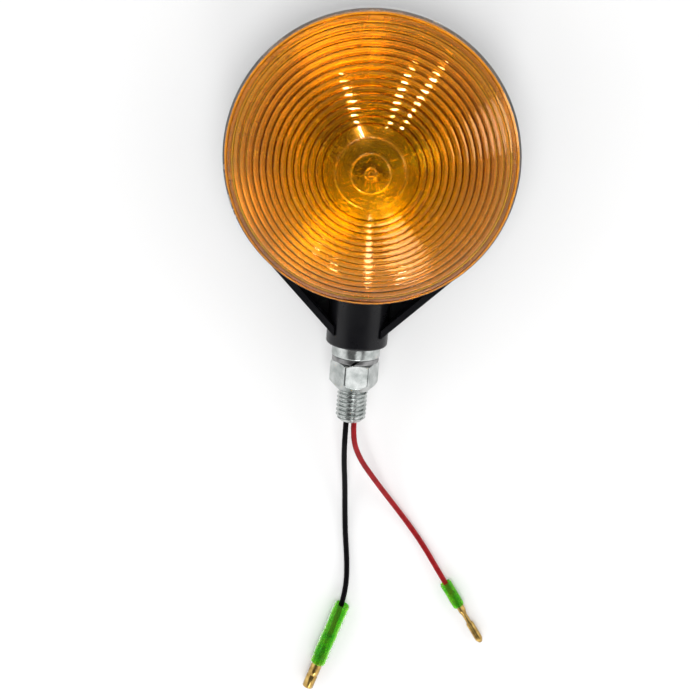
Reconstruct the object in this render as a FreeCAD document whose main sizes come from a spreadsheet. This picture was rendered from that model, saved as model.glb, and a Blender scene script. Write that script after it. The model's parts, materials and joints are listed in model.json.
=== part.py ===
"""Stud-mount turn signal lamp: amber lens, black housing, hollow M12 stud and two bullet leads.

Row frame: millimetres, +Z up along the lens axis, origin at the centre of the flat back, stud along -Y.
"""
import FreeCAD, Part
import math
import os
import Sketcher

Vector = FreeCAD.Vector
Rotation = FreeCAD.Rotation
Placement = FreeCAD.Placement

DIMENSIONS = [
    # housing: dish, gusset webs and neck
    ("back_radius", 40.0, "flat back of the dish"),
    ("rim_radius", 52.6, "outside of the dish wall under its rim"),
    ("rim_flange_radius", 54.2, "outside of the rim flange"),
    ("rim_flange_depth", 3.0, "thickness of the rim flange"),
    ("housing_height", 27.0, "back to rim face"),
    ("shell_wall", 2.5, "wall of the dish"),
    ("back_edge_round", 3.0, "round on the edge of the back"),
    ("gusset_reach", 80.0, "x plus -y along the outer edge of a gusset"),
    ("gusset_end", 38.5, "x of the outer corner of a gusset"),
    ("gusset_root", 9.0, "x where the gusset edge runs into the neck"),
    ("gusset_wall", 2.4, "flange thickness of a gusset"),
    ("gusset_depth", 18.0, "height of the gusset flange"),
    ("web_wall", 3.0, "thickness of the gusset web"),
    ("gusset_round", 2.2, "outer corner round of a gusset"),
    ("gusset_return", 8.0, "how far the end of a gusset runs back in towards the dish"),
    ("neck_radius", 12.0, "outside of the neck"),
    ("neck_start", 36.0, "inner end of the neck, from the lens axis"),
    ("neck_end", 75.6, "outer end of the neck, from the lens axis"),
    ("neck_round", 1.0, "round on the end of the neck"),
    ("pocket_radius", 10.3, "pocket for the inner nut"),
    ("pocket_floor", 47.0, "floor of the pocket, from the lens axis"),
    ("neck_bore", 6.1, "bore of the neck for the stud"),
    ("screw_circle", 34.0, "circle of the three back screws"),
    ("boss_radius", 4.6, "screw boss"),
    ("boss_top", 8.0, "top of a screw boss"),
    ("screw_recess_radius", 3.9, "recess for a screw head"),
    ("screw_recess_depth", 3.4, "depth of that recess"),
    ("screw_hole", 1.9, "clearance hole for a screw"),
    ("screw_head_radius", 3.3, "head of a reflector screw"),
    ("screw_head_wall", 2.2, "thickness of that head"),
    ("screw_shank", 1.5, "shank of a reflector screw"),
    ("screw_length", 12.0, "length of that shank"),
    ("screw_slot_length", 5.0, "slot across the head"),
    ("screw_slot_width", 0.9, "width of that slot"),
    ("screw_slot_depth", 1.0, "depth of that slot"),
    # seals, reflector and lens
    ("gasket_thickness", 0.8, "seal between housing and reflector"),
    ("gasket_inset", 0.4, "edge of that seal inside the rim flange"),
    ("band_height", 5.7, "grey band of the reflector"),
    ("band_radius", 54.9, "outside of that band"),
    ("band_inside", 51.2, "inside of that band"),
    ("dish_flat_radius", 16.0, "flat centre of the reflector"),
    ("dish_flat_top", 14.0, "top of that flat centre"),
    ("dish_wall", 1.8, "thickness of the reflector"),
    ("dish_curve", 120.0, "radius of the reflector curve"),
    ("dish_hole", 9.1, "hole for the bulb holder"),
    ("post_radius", 3.3, "screw post on the reflector"),
    ("post_reach", 6.6, "top of a screw post above the flat centre"),
    ("post_hole_depth", 8.0, "depth of the hole in a post"),
    ("lens_radius", 54.0, "outside of the lens"),
    ("lens_wall", 2.4, "wall of the lens"),
    ("lens_skirt", 3.5, "straight skirt of the lens"),
    ("dome_height", 25.0, "skirt to the top of the dome"),
    ("ring_first", 17.2, "radius of the innermost ring line"),
    ("ring_pitch", 2.55, "spacing of the ring lines"),
    ("ring_count", 15.0, "number of ring lines"),
    ("ring_groove", 0.4, "radius of the groove at a ring line"),
    ("seal_inside", 52.3, "inside of the lens seal"),
    ("seal_outside", 53.3, "outside of the lens seal"),
    ("seal_height", 1.2, "height of the lens seal"),
    # bulb holder
    ("holder_radius", 8.3, "outside of the bulb holder"),
    ("holder_wall", 0.55, "sheet thickness of the bulb holder"),
    ("holder_bottom", 6.6, "lower end of the bulb holder"),
    ("holder_top", 25.5, "upper end of the bulb holder"),
    ("holder_lip", 5.6, "hole in the bottom of the bulb holder"),
    ("flange_radius", 14.6, "flange of the bulb holder"),
    ("flange_wall", 0.8, "thickness of that flange"),
    ("slot_width", 2.5, "width of the bayonet slot"),
    ("slot_turn", 28.0, "turn of the bayonet slot, in degrees"),
    ("rivet_circle", 12.0, "circle of the two rivets"),
    ("rivet_radius", 1.3, "rivet shank"),
    ("rivet_head", 2.3, "rivet head"),
    ("rivet_head_wall", 0.8, "thickness of a rivet head"),
    ("tab_wall", 0.7, "thickness of the ground tab"),
    ("tab_height", 4.4, "height of the ground tab"),
    ("tab_left", -5.2, "left edge of the ground tab"),
    ("tab_right", 0.6, "right edge of the ground tab"),
    ("tab_bite", 0.05, "depth of the tab's weld in the holder"),
    ("disc_wall", 1.6, "thickness of both insulating discs"),
    ("disc_radius", 7.3, "insulating discs"),
    ("base_rivet_radius", 1.5, "rivet through the bottom disc"),
    ("base_rivet_foot", 2.4, "foot of that rivet"),
    ("base_rivet_drop", 1.6, "bottom of that foot below the disc"),
    ("base_rivet_gap", 0.1, "foot to disc"),
    ("base_rivet_head", 2.6, "head of that rivet"),
    ("base_rivet_head_wall", 0.5, "thickness of that head"),
    ("contact_level", 15.0, "top of the sprung contact"),
    ("plunger_head", 2.7, "radius of the sprung contact"),
    ("plunger_head_wall", 1.2, "thickness of the sprung contact"),
    ("plunger_pin", 1.0, "pin of the sprung contact"),
    ("plunger_tail", 0.5, "pin below its disc"),
    ("plunger_chamfer", 0.4, "chamfer of the sprung contact"),
    ("spring_radius", 4.6, "mean radius of the contact spring"),
    ("spring_wire", 0.7, "wire of the contact spring"),
    ("spring_turns", 2.4, "turns of the contact spring"),
    ("push_travel", 1.4, "travel of the sprung contact"),
    # bulb
    ("cap_radius", 7.5, "cap of the bulb"),
    ("cap_wall", 0.5, "wall of the cap"),
    ("cap_height", 15.0, "height of the cap"),
    ("cap_start", 1.9, "lower edge of the cap above the contact"),
    ("pin_height", 6.7, "bayonet pins above the contact"),
    ("pin_radius", 1.0, "bayonet pin"),
    ("pin_reach", 8.75, "end of a bayonet pin from the axis"),
    ("pin_turn", 20.0, "locking turn of the bulb, in degrees"),
    ("insulator_foot", 3.4, "lower end of the cap's glass insulator"),
    ("insulator_gap", 0.02, "insulator to cap"),
    ("insulator_start", 0.3, "cap edge to the straight side of the insulator"),
    ("insulator_height", 2.4, "cap edge to the top of the insulator"),
    ("solder_foot", 1.5, "flat of the solder contact"),
    ("solder_radius", 2.2, "solder contact"),
    ("solder_height", 0.7, "height of the solder contact"),
    ("bulb_length", 37.5, "contact to the top of the glass"),
    ("bulb_radius", 9.3, "ball of the glass"),
    ("bulb_neck", 6.6, "neck of the glass"),
    ("glass_wall", 0.7, "wall of the glass"),
    ("glass_inset", 5.0, "glass inside its cap"),
    ("stem_foot", 4.4, "foot of the glass stem"),
    ("stem_shoulder", 3.0, "shoulder of the stem"),
    ("stem_shoulder_height", 2.5, "foot to that shoulder"),
    ("stem_tip", 1.5, "tip of the stem"),
    ("stem_drop", 9.0, "filament to the tip of the stem"),
    ("filament_level", 28.6, "filament above the contact"),
    ("filament_half", 3.2, "half the length of the filament"),
    ("filament_radius", 0.4, "coil of the filament"),
    ("support_radius", 0.25, "support wire of the filament"),
    ("support_sink", 3.0, "support wires into the stem"),
    ("support_gap", 0.9, "inner end of a support's foot from the axis"),
    # stud and its fasteners, measured along the stud from the lens axis
    ("stud_height", 15.0, "stud axis above the back"),
    ("stud_start", 40.0, "inner end of the stud"),
    ("stud_end", 107.3, "outer end of the stud"),
    ("thread_radius", 5.95, "thread, outside"),
    ("thread_gap", 0.6, "width of the thread valley at the nut's face"),
    ("thread_gap_depth", 0.35, "depth of that valley"),
    ("thread_gap_end", 0.5, "nut's face to the outer edge of that valley"),
    ("shank_radius", 5.9, "shank inside the neck"),
    ("shank_chamfer", 0.8, "chamfer of the shank's inner end"),
    ("stud_chamfer", 1.6, "chamfer of the stud's end"),
    ("stud_bore", 3.6, "bore for the leads"),
    ("collar_radius", 9.5, "round collar"),
    ("collar_length", 4.8, "length of the collar"),
    ("collar_round", 0.6, "round on the collar"),
    ("across_flats", 17.0, "both nuts across their flats"),
    ("inner_nut_length", 4.5, "thin nut in the neck"),
    ("inner_washer_wall", 1.5, "washer in the neck"),
    ("inner_washer_radius", 10.0, "washer in the neck"),
    ("spring_washer_wall", 2.0, "split lock washer"),
    ("spring_washer_radius", 9.2, "split lock washer"),
    ("washer_bore", 6.25, "bore of the washers"),
    ("washer_gap", 1.2, "gap in the split lock washer"),
    ("washer_lean", 1.2, "lean of that gap to each side"),
    ("nut_length", 11.8, "mounting nut with its long chamfer"),
    ("nut_turn", -7.4, "turn of the mounting nut from flats square to the lens axis, in degrees"),
    ("nut_cone", 3.5, "length of the long chamfer"),
    ("nut_bevel", 1.1, "short chamfer of the nut"),
    ("nut_bite", 0.3, "short chamfer inside the flats"),
    ("nut_land", 0.4, "flat of the nut's face round its bore"),
    ("inner_nut_bevel", 0.66, "one chamfer of the thin nut"),
    ("inner_nut_cone", 1.76, "other chamfer of the thin nut"),
    ("nut_bore", 6.02, "bore of the mounting nut"),
    ("bush_length", 7.6, "rubber bush in the stud"),
    ("bush_inset", 0.7, "bush below the stud's end"),
    # leads and connectors
    ("lead_radius", 1.1, "insulated lead"),
    ("lead_offset", 1.55, "leads to each side of the stud axis"),
    ("female_sleeve_radius", 3.3, "sleeve of the female connector"),
    ("female_sleeve_length", 29.0, "sleeve of the female connector"),
    ("female_sleeve_bore", 2.5, "bore of that sleeve"),
    ("female_inset", 15.5, "female terminal inside its sleeve, from the lead's end"),
    ("female_length", 25.5, "female terminal"),
    ("female_radius", 2.3, "barrel of the female terminal"),
    ("female_bore", 1.62, "hole of the female terminal"),
    ("female_bore_depth", 9.5, "depth of that hole"),
    ("female_crimp", 5.0, "crimped length of the female terminal"),
    ("female_shoulder", 2.0, "shoulder between crimp and barrel"),
    ("female_ring", 6.2, "ring groove from the open end"),
    ("female_ring_half", 0.5, "half the width of that groove"),
    ("female_ring_depth", 0.25, "depth of that groove"),
    ("sleeve_round", 0.4, "rounded end of both sleeves"),
    ("male_sleeve_radius", 2.4, "sleeve of the male connector"),
    ("male_sleeve_length", 12.0, "sleeve of the male connector"),
    ("male_sleeve_bore", 1.9, "bore of that sleeve"),
    ("male_inset", 5.0, "male terminal inside its sleeve"),
    ("male_length", 26.0, "male terminal"),
    ("male_radius", 1.6, "bullet of the male terminal"),
    ("male_neck", 1.05, "neck behind the bullet"),
    ("bullet_length", 10.0, "bullet with its tip"),
    ("bullet_heel", 0.3, "round of the bullet's heel"),
    ("bullet_tip", 1.6, "length of the bullet's tip"),
    ("bullet_tip_depth", 0.9, "narrowing of that tip"),
    ("male_crimp", 9.5, "crimped length of the male terminal"),
    ("male_shoulder", 2.0, "crimp to neck"),
    ("crimp_radius", 1.7, "crimped end of both terminals"),
]

# Route of each free lead from the face of the bush to its crimp. Points are mm in the row frame.
# The connectors lie level on the floor, in line with the last run of their lead.
BLACK_ROUTE = [
    (-1.55, -106.6, 15.0), (-1.55, -115.6, 15.0), (-1.1, -126.5, 10.9), (0.0, -138.0, 5.6),
    (0.8, -149.5, 2.0), (1.8, -161.5, 1.15), (3.4, -173.0, 1.15), (4.2, -184.4, 2.4),
    (2.4, -195.9, 3.35), (-1.3, -208.0, 3.35),
]
RED_ROUTE = [
    (1.55, -106.6, 15.0), (1.55, -114.8, 15.0), (4.7, -124.2, 11.6), (10.9, -133.9, 7.0),
    (18.6, -144.4, 3.0), (27.0, -154.8, 1.25), (34.9, -165.0, 1.2), (41.5, -174.7, 2.4),
    (47.9, -184.1, 2.4),
]

# Route of each lead inside the lamp, from the face of the bush to the bulb holder.
INNER_BLACK_ROUTE = [
    (-1.55, -106.6, 15.0), (-1.55, -39.0, 15.0), (-3.6, -28.0, 10.6), (-3.4, -17.0, 8.6), (-3.0, -8.95, 8.6),
]
INNER_RED_ROUTE = [
    (1.55, -106.6, 15.0), (1.55, -38.0, 15.0), (3.4, -27.0, 8.2), (2.6, -15.0, 4.5), (0.0, -2.0, 4.4),
]
FREE_BENDS = 0.45
INNER_BENDS = 0.4
SPRING_BENDS = 0.45
SPRING_SIDES = 12

SCREW_ANGLES = (90, 210, 330)
SIDES = (1.0, -1.0)
PAST = 1.0  # how far a cutting shape runs past what it cuts
RIM_THICKENING = 1.3  # the reflector's wall where it meets its band

doc = FreeCAD.newDocument("turn_signal")
sheet = doc.addObject("Spreadsheet::Sheet", "Sizes")
for row, (alias, number, note) in enumerate(DIMENSIONS, start=1):
    sheet.set(f"A{row}", alias)
    sheet.set(f"B{row}", str(number))
    sheet.set(f"C{row}", note)
    sheet.setAlias(f"B{row}", alias)
doc.recompute()


class Size:
    """A length with its number and the sheet expression that gives it."""

    def __init__(self, number, text):
        self.number = number
        self.text = text

    def _combine(self, other, sign, result):
        other = size(other)
        return Size(result(self.number, other.number), f"({self.text} {sign} {other.text})")

    def __add__(self, other):
        return self._combine(other, "+", lambda a, b: a + b)

    def __sub__(self, other):
        return self._combine(other, "-", lambda a, b: a - b)

    def __mul__(self, other):
        return self._combine(other, "*", lambda a, b: a * b)

    def __truediv__(self, other):
        return self._combine(other, "/", lambda a, b: a / b)

    def __radd__(self, other):
        return size(other) + self

    def __rsub__(self, other):
        return size(other) - self

    def __rmul__(self, other):
        return size(other) * self

    def __neg__(self):
        return size(0) - self


def size(value):
    """A Size as it is, or a plain number as a Size."""
    return value if isinstance(value, Size) else Size(float(value), f"{float(value):.6g}")


def cell(alias):
    """The Size of one cell of the sheet."""
    return Size(float(getattr(sheet, alias)), f"Sizes.{alias}")


def root(value):
    """The square root of a Size."""
    return Size(math.sqrt(value.number), f"sqrt({value.text})")


def on_circle(radius, degrees):
    """The point at an angle on a circle about the origin, as two Sizes."""
    angle = size(degrees)
    cosine = Size(math.cos(math.radians(angle.number)), f"cos(({angle.text}) * 1 deg)")
    sine = Size(math.sin(math.radians(angle.number)), f"sin(({angle.text}) * 1 deg)")
    return radius * cosine, radius * sine


def bind(feature, name, value):
    """Give a property its number and tie it to the sheet."""
    value = size(value)
    feature.setExpression(name, value.text)


def bind_offset(feature, x, y, z):
    """Tie an attachment offset to the sheet."""
    for axis, value in zip("xyz", (x, y, z)):
        bind(feature, f"AttachmentOffset.Base.{axis}", value)


D = {alias: cell(alias) for alias, _number, _note in DIMENSIONS}
stud_axis = D["stud_height"]
band_bottom = D["housing_height"] + D["gasket_thickness"]
band_top = band_bottom + D["band_height"]
dome_start = band_top + D["lens_skirt"]
dome_top = dome_start + D["dome_height"]
collar_end = D["neck_end"] + D["collar_length"]
nut_start = collar_end + D["spring_washer_wall"]
nut_end = nut_start + D["nut_length"]
free_thread_start = nut_end + D["thread_gap_end"]


# ---------------------------------------------------------------- document helpers
def new_body(label):
    body = doc.addObject("PartDesign::Body", label)
    body.Label = label
    return body


def origin_plane(body, role):
    return next(item for item in body.Origin.OriginFeatures if item.Role == role)


def attach(feature, body, role):
    feature.AttachmentSupport = (origin_plane(body, role), [""])
    feature.MapMode = "FlatFace"


def vector(point):
    return Vector(point[0].number, point[1].number, 0)


def arc_through(start, end, centre):
    """The short arc from start to end about a centre, and whether it runs clockwise."""
    first = math.atan2(start.y - centre.y, start.x - centre.x)
    last = math.atan2(end.y - centre.y, end.x - centre.x)
    turn = (last - first + math.pi) % (2 * math.pi) - math.pi
    circle = Part.Circle(centre, Vector(0, 0, 1), (start - centre).Length)
    if turn > 0:
        return Part.ArcOfCircle(circle, first, first + turn), False
    return Part.ArcOfCircle(circle, last, last - turn), True


def arc_centre(start, end, radius, side):
    """The centre of an arc of this radius; side is 1 for a centre to the left of the way."""
    middle = (start + end) * 0.5
    chord = end - start
    across = Vector(-chord.y, chord.x, 0).normalize()
    rise = math.sqrt(radius ** 2 - (chord.Length / 2) ** 2)
    return middle + across * (side * rise)


def outline(sketch, points, arcs=None):
    """A closed outline through points. arcs maps the number of a side to (radius, side of its centre)."""
    arcs = arcs or {}
    points = [(size(x), size(y)) for x, y in points]
    count = len(points)
    base = sketch.GeometryCount
    ends = []
    for number, point in enumerate(points):
        start = vector(point)
        end = vector(points[(number + 1) % count])
        if number in arcs:
            radius, side = arcs[number]
            arc, clockwise = arc_through(start, end, arc_centre(start, end, radius.number, side))
            sketch.addGeometry(arc, False)
            ends.append((2, 1) if clockwise else (1, 2))
        else:
            sketch.addGeometry(Part.LineSegment(start, end), False)
            ends.append((1, 2))
    for number, (x, y) in enumerate(points):
        side = base + number
        before = base + (number - 1) % count
        joined = (before, ends[number - 1][1], side, ends[number][0])
        sketch.addConstraint(Sketcher.Constraint("Coincident", *joined))
        for kind, value in (("DistanceX", x), ("DistanceY", y)):
            rule = sketch.addConstraint(Sketcher.Constraint(kind, -1, 1, side, ends[number][0], value.number))
            bind(sketch, f"Constraints[{rule}]", value)
    for number, (radius, _side) in arcs.items():
        rule = sketch.addConstraint(Sketcher.Constraint("Radius", base + number, radius.number))
        bind(sketch, f"Constraints[{rule}]", radius)


def circle(sketch, x, y, radius):
    """A circle whose centre and radius are tied to the sheet."""
    x, y, radius = size(x), size(y), size(radius)
    number = sketch.addGeometry(Part.Circle(vector((x, y)), Vector(0, 0, 1), radius.number), False)
    for kind, value in (("DistanceX", x), ("DistanceY", y)):
        rule = sketch.addConstraint(Sketcher.Constraint(kind, -1, 1, number, 3, value.number))
        bind(sketch, f"Constraints[{rule}]", value)
    rule = sketch.addConstraint(Sketcher.Constraint("Radius", number, radius.number))
    bind(sketch, f"Constraints[{rule}]", radius)


def new_sketch(body, name, role, level=0.0):
    """An empty sketch on an origin plane of the body, at a level along the plane's normal."""
    sketch = body.newObject("Sketcher::SketchObject", name)
    attach(sketch, body, role)
    bind_offset(sketch, 0.0, 0.0, level)
    return sketch


def turn(body, name, points, arcs=None, kind="PartDesign::Revolution"):
    """Turn an outline of (radius, height) points about the body's Z axis."""
    sketch = new_sketch(body, f"{name}_outline", "XZ_Plane")
    outline(sketch, points, arcs)
    feature = body.newObject(kind, name)
    feature.Profile = sketch
    feature.ReferenceAxis = (sketch, ["V_Axis"])
    bind(feature, "Angle", 360.0)
    return feature


def pad(body, name, sketch, length, middle=False):
    feature = body.newObject("PartDesign::Pad", name)
    feature.Profile = sketch
    bind(feature, "Length", length)
    feature.Midplane = middle
    return feature


def pocket(body, name, sketch, length=None):
    """Cut a sketch to a length, or right through the body both ways."""
    feature = body.newObject("PartDesign::Pocket", name)
    feature.Profile = sketch
    if length is None:
        feature.Midplane = True
        feature.Type = 1
    else:
        bind(feature, "Length", length)


def round_block(body, name, role, offset, radius, height, cut=False):
    """Add or cut a cylinder that stands on an origin plane of the body."""
    kind = "PartDesign::SubtractiveCylinder" if cut else "PartDesign::AdditiveCylinder"
    feature = body.newObject(kind, name)
    attach(feature, body, role)
    bind_offset(feature, *offset)
    bind(feature, "Radius", radius)
    bind(feature, "Height", height)
    return feature


def soften(body, name, base, edges, radius):
    """Round edges of a feature."""
    feature = body.newObject("PartDesign::Fillet", name)
    feature.Base = (base, edges)
    bind(feature, "Radius", radius)
    return feature


def find_edges(feature, test):
    """Names of the feature's edges that pass a test."""
    doc.recompute()
    return [f"Edge{number}" for number, edge in enumerate(feature.Shape.Edges, start=1) if test(edge)]


def is_ring(edge, radius, centre, slack=0.05):
    """Whether an edge is a circle of this radius about this centre."""
    curve = edge.Curve
    if not isinstance(curve, Part.Circle):
        return False
    return abs(curve.Radius - radius.number) < slack and (curve.Center - centre).Length < slack


def along_stud(part):
    """Stand a part on the stud axis: its Z axis runs out along -Y from the lens axis."""
    part.Placement = Placement(Vector(0, 0, 0), Rotation(Vector(1, 0, 0), 90))
    bind(part, "Placement.Base.z", stud_axis)


def along_lead(part, route, shift):
    """Stand a part on the end of a lead: its Z axis runs on past the lead's end."""
    end = Vector(*route[-1])
    direction = (end - Vector(*route[-2])).normalize()
    part.Placement = Placement(end + direction * shift, Rotation(Vector(0, 0, 1), direction))


def cylinder(name, radius, height, x=0.0, y=0.0, z=0.0):
    """A Part cylinder that stands on (x, y, z)."""
    feature = doc.addObject("Part::Cylinder", name)
    bind(feature, "Radius", radius)
    bind(feature, "Height", height)
    for axis, value in zip("xyz", (x, y, z)):
        bind(feature, f"Placement.Base.{axis}", value)
    return feature


def fused(label, pieces):
    """One labelled object of separate or touching pieces."""
    feature = doc.addObject("Part::MultiFuse", label)
    feature.Label = label
    feature.Shapes = pieces
    return feature


def plain(label, shape):
    """A labelled object whose shape is made by Part functions."""
    feature = doc.addObject("Part::Feature", label)
    feature.Label = label
    feature.Shape = shape
    return feature


def ring(label, inside, outside, bottom, top):
    """A plain turned ring about the lens axis."""
    body = new_body(label)
    turn(body, f"{label}_turn", [(inside, bottom), (outside, bottom), (outside, top), (inside, top)])
    return body


def wire_path(route, bend_share):
    """Straight runs joined by tangent arcs, and the radii of the arcs."""
    points = [Vector(*point) for point in route]
    edges = []
    radii = []
    start = points[0]
    for before, corner, after in zip(points, points[1:], points[2:]):
        into = (corner - before).normalize()
        out = (after - corner).normalize()
        half_turn = into.getAngle(out) / 2
        shorter = min((corner - before).Length, (after - corner).Length)
        tangent = bend_share * shorter
        radii.append(tangent / math.tan(half_turn))
        arc_start = corner - into * tangent
        arc_end = corner + out * tangent
        inward = (out - into).normalize()
        depth = radii[-1] / math.cos(half_turn) - radii[-1]
        edges.append(Part.LineSegment(start, arc_start).toShape())
        edges.append(Part.Arc(arc_start, corner + inward * depth, arc_end).toShape())
        start = arc_end
    edges.append(Part.LineSegment(start, points[-1]).toShape())
    return Part.Wire(edges), radii


def make_wire(label, route, radius, bend_share):
    """A round wire or lead along a route."""
    path, radii = wire_path(route, bend_share)
    direction = Vector(*route[1]) - Vector(*route[0])
    section = Part.Wire(Part.makeCircle(radius, Vector(*route[0]), direction))
    tube = path.makePipeShell([section], True, True)
    expected = math.pi * radius ** 2 * path.Length
    print(f"{label}: length {path.Length:.1f} mm, least radius {min(radii):.1f} mm,",
          f"volume {tube.Volume / expected:.4f} of section x length")
    if abs(tube.Volume / expected - 1) > 0.01:
        raise ValueError(f"{label} has the wrong volume")
    plain(label, tube)


# ---------------------------------------------------------------- housing, reflector and lens
def make_housing():
    body = new_body("housing")
    flange_start = D["housing_height"] - D["rim_flange_depth"]
    turn(body, "dish", [
        (0, 0), (D["back_radius"], 0), (D["rim_radius"], flange_start),
        (D["rim_flange_radius"], flange_start), (D["rim_flange_radius"], D["housing_height"]),
        (0, D["housing_height"]),
    ])
    reach, end, start = D["gusset_reach"], D["gusset_end"], D["gusset_root"]
    corner = (end, end - reach)
    inward = D["gusset_return"]
    web = new_sketch(body, "web_outline", "XY_Plane", stud_axis)
    outline(web, [
        (start, start - reach), corner, (end - inward, end - reach + inward),
        (inward - end, end - reach + inward), (-end, end - reach), (-start, start - reach),
    ])
    pad(body, "web", web, D["web_wall"], middle=True)
    step = D["gusset_wall"] * root(size(2.0))
    inner_edge = reach - step
    flange = new_sketch(body, "flange_outline", "XY_Plane", stud_axis)
    for side in SIDES:
        corners = [
            (start, start - reach), corner, (end - inward, end - reach + inward),
            (end - inward - step, end - reach + inward), (end - step, end - reach),
            (start, start - inner_edge),
        ]
        outline(flange, [(side * x, y) for x, y in corners])
    gusset = pad(body, "gusset_flange", flange, D["gusset_depth"], middle=True)
    outer_corner = Vector(end.number, end.number - reach.number, 0)

    def is_gusset_corner(edge):
        middle = edge.BoundBox.Center
        flat = Vector(abs(middle.x), middle.y, 0)
        return (flat - outer_corner).Length < 0.1 and edge.BoundBox.ZLength > 1.0

    rounded = soften(body, "gusset_corners", gusset, find_edges(gusset, is_gusset_corner), D["gusset_round"])
    body.Tip = rounded
    neck_length = D["neck_end"] - D["neck_start"]
    neck_place = (0, stud_axis, D["neck_start"])
    neck = round_block(body, "neck", "XZ_Plane", neck_place, D["neck_radius"], neck_length)
    neck_tip = Vector(0, -D["neck_end"].number, stud_axis.number)
    back = Vector(0, 0, 0)
    edges = find_edges(neck, lambda edge: is_ring(edge, D["neck_radius"], neck_tip))
    neck_soft = soften(body, "neck_round_edge", neck, edges, D["neck_round"])
    edges = find_edges(neck_soft, lambda edge: is_ring(edge, D["back_radius"], back))
    soften(body, "back_round_edge", neck_soft, edges, D["back_edge_round"])
    wall = D["shell_wall"]
    flare = D["rim_radius"] - D["back_radius"]
    level_wall = wall * root(flare * flare + flange_start * flange_start) / flange_start
    cavity_foot = D["back_radius"] + wall * flare / flange_start - level_wall
    cavity_rim = D["rim_radius"] - level_wall
    turn(body, "cavity", [
        (0, wall), (cavity_foot, wall), (cavity_rim, flange_start), (cavity_rim, D["housing_height"]),
        (0, D["housing_height"]),
    ], kind="PartDesign::Groove")
    boss_top, half_wall = D["boss_top"], wall / 2.0
    for number, angle in enumerate(SCREW_ANGLES):
        x, y = on_circle(D["screw_circle"], angle)
        round_block(body, f"boss_{number}", "XY_Plane", (x, y, half_wall), D["boss_radius"],
                    boss_top - half_wall)
        round_block(body, f"screw_hole_{number}", "XY_Plane", (x, y, 0), D["screw_hole"], boss_top, cut=True)
        round_block(body, f"screw_recess_{number}", "XY_Plane", (x, y, 0), D["screw_recess_radius"],
                    D["screw_recess_depth"], cut=True)
    pocket_start = D["neck_start"] - 2.0 * PAST
    pocket_length = D["pocket_floor"] - pocket_start
    round_block(body, "nut_pocket", "XZ_Plane", (0, stud_axis, pocket_start), D["pocket_radius"],
                pocket_length, cut=True)
    round_block(body, "stud_bore", "XZ_Plane", neck_place, D["neck_bore"], neck_length, cut=True)


def make_reflector():
    body = new_body("reflector")
    flat, top, wall = D["dish_flat_radius"], D["dish_flat_top"], D["dish_wall"]
    inside, curve = D["band_inside"], D["dish_curve"]
    band_joint = band_top - wall * RIM_THICKENING
    turn(body, "dish_and_band", [
        (D["dish_hole"], top - wall), (flat, top - wall), (inside, band_joint),
        (inside, band_bottom), (D["band_radius"], band_bottom), (D["band_radius"], band_top),
        (inside, band_top), (flat, top), (D["dish_hole"], top),
    ], arcs={1: (curve, 1), 6: (curve, -1)})
    post_bottom = D["boss_top"]
    post_height = D["dish_flat_top"] - post_bottom + D["post_reach"]
    for number, angle in enumerate(SCREW_ANGLES):
        x, y = on_circle(D["screw_circle"], angle)
        round_block(body, f"post_{number}", "XY_Plane", (x, y, post_bottom), D["post_radius"], post_height)
        round_block(body, f"post_hole_{number}", "XY_Plane", (x, y, post_bottom), D["screw_shank"],
                    D["post_hole_depth"], cut=True)
    hole_start, hole_length = top - wall - PAST, wall + 2.0 * PAST
    for number, side in enumerate(SIDES):
        round_block(body, f"rivet_hole_{number}", "XY_Plane", (side * D["rivet_circle"], 0, hole_start),
                    D["rivet_radius"], hole_length, cut=True)


def make_lens():
    body = new_body("lens")
    outside, wall = D["lens_radius"], D["lens_wall"]
    inside = outside - wall
    sphere = (outside * outside + D["dome_height"] * D["dome_height"]) / (2.0 * D["dome_height"])
    inner_sphere = sphere - wall
    centre = dome_top - sphere
    inner_start = centre + root(inner_sphere * inner_sphere - inside * inside)
    turn(body, "dome", [
        (0, dome_top - wall), (inside, inner_start), (inside, band_top), (D["seal_inside"], band_top),
        (D["seal_inside"], band_top + D["seal_height"]), (D["seal_outside"], band_top + D["seal_height"]),
        (D["seal_outside"], band_top), (outside, band_top), (outside, dome_start), (0, dome_top),
    ], arcs={0: (inner_sphere, -1), 8: (sphere, 1)})
    lines = new_sketch(body, "ring_lines_outline", "XZ_Plane")
    for number in range(int(D["ring_count"].number)):
        radius = D["ring_first"] + D["ring_pitch"] * float(number)
        circle(lines, radius, centre + root(sphere * sphere - radius * radius), D["ring_groove"])
    feature = body.newObject("PartDesign::Groove", "ring_lines")
    feature.Profile = lines
    feature.ReferenceAxis = (lines, ["V_Axis"])
    bind(feature, "Angle", 360.0)


def make_seals():
    outside = D["rim_flange_radius"] - D["gasket_inset"]
    ring("housing_gasket", D["band_inside"], outside, D["housing_height"], band_bottom)
    ring("lens_gasket", D["seal_inside"], D["seal_outside"], band_top, band_top + D["seal_height"])


def make_reflector_screws():
    pieces = []
    recess, wall = D["screw_recess_depth"], D["screw_head_wall"]
    length, width = D["screw_slot_length"], D["screw_slot_width"]
    for number, angle in enumerate(SCREW_ANGLES):
        x, y = on_circle(D["screw_circle"], angle)
        head = cylinder(f"screw_head_{number}", D["screw_head_radius"], wall, x, y, recess - wall)
        slot = doc.addObject("Part::Box", f"screw_slot_{number}")
        bind(slot, "Length", length)
        bind(slot, "Width", width)
        bind(slot, "Height", D["screw_slot_depth"])
        bind(slot, "Placement.Base.x", x - length / 2.0)
        bind(slot, "Placement.Base.y", y - width / 2.0)
        bind(slot, "Placement.Base.z", recess - wall)
        slotted = doc.addObject("Part::Cut", f"screw_slotted_{number}")
        slotted.Base = head
        slotted.Tool = slot
        shank = cylinder(f"screw_shank_{number}", D["screw_shank"], D["screw_length"], x, y, recess)
        pieces += [slotted, shank]
    fused("reflector_screws", pieces)


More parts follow.
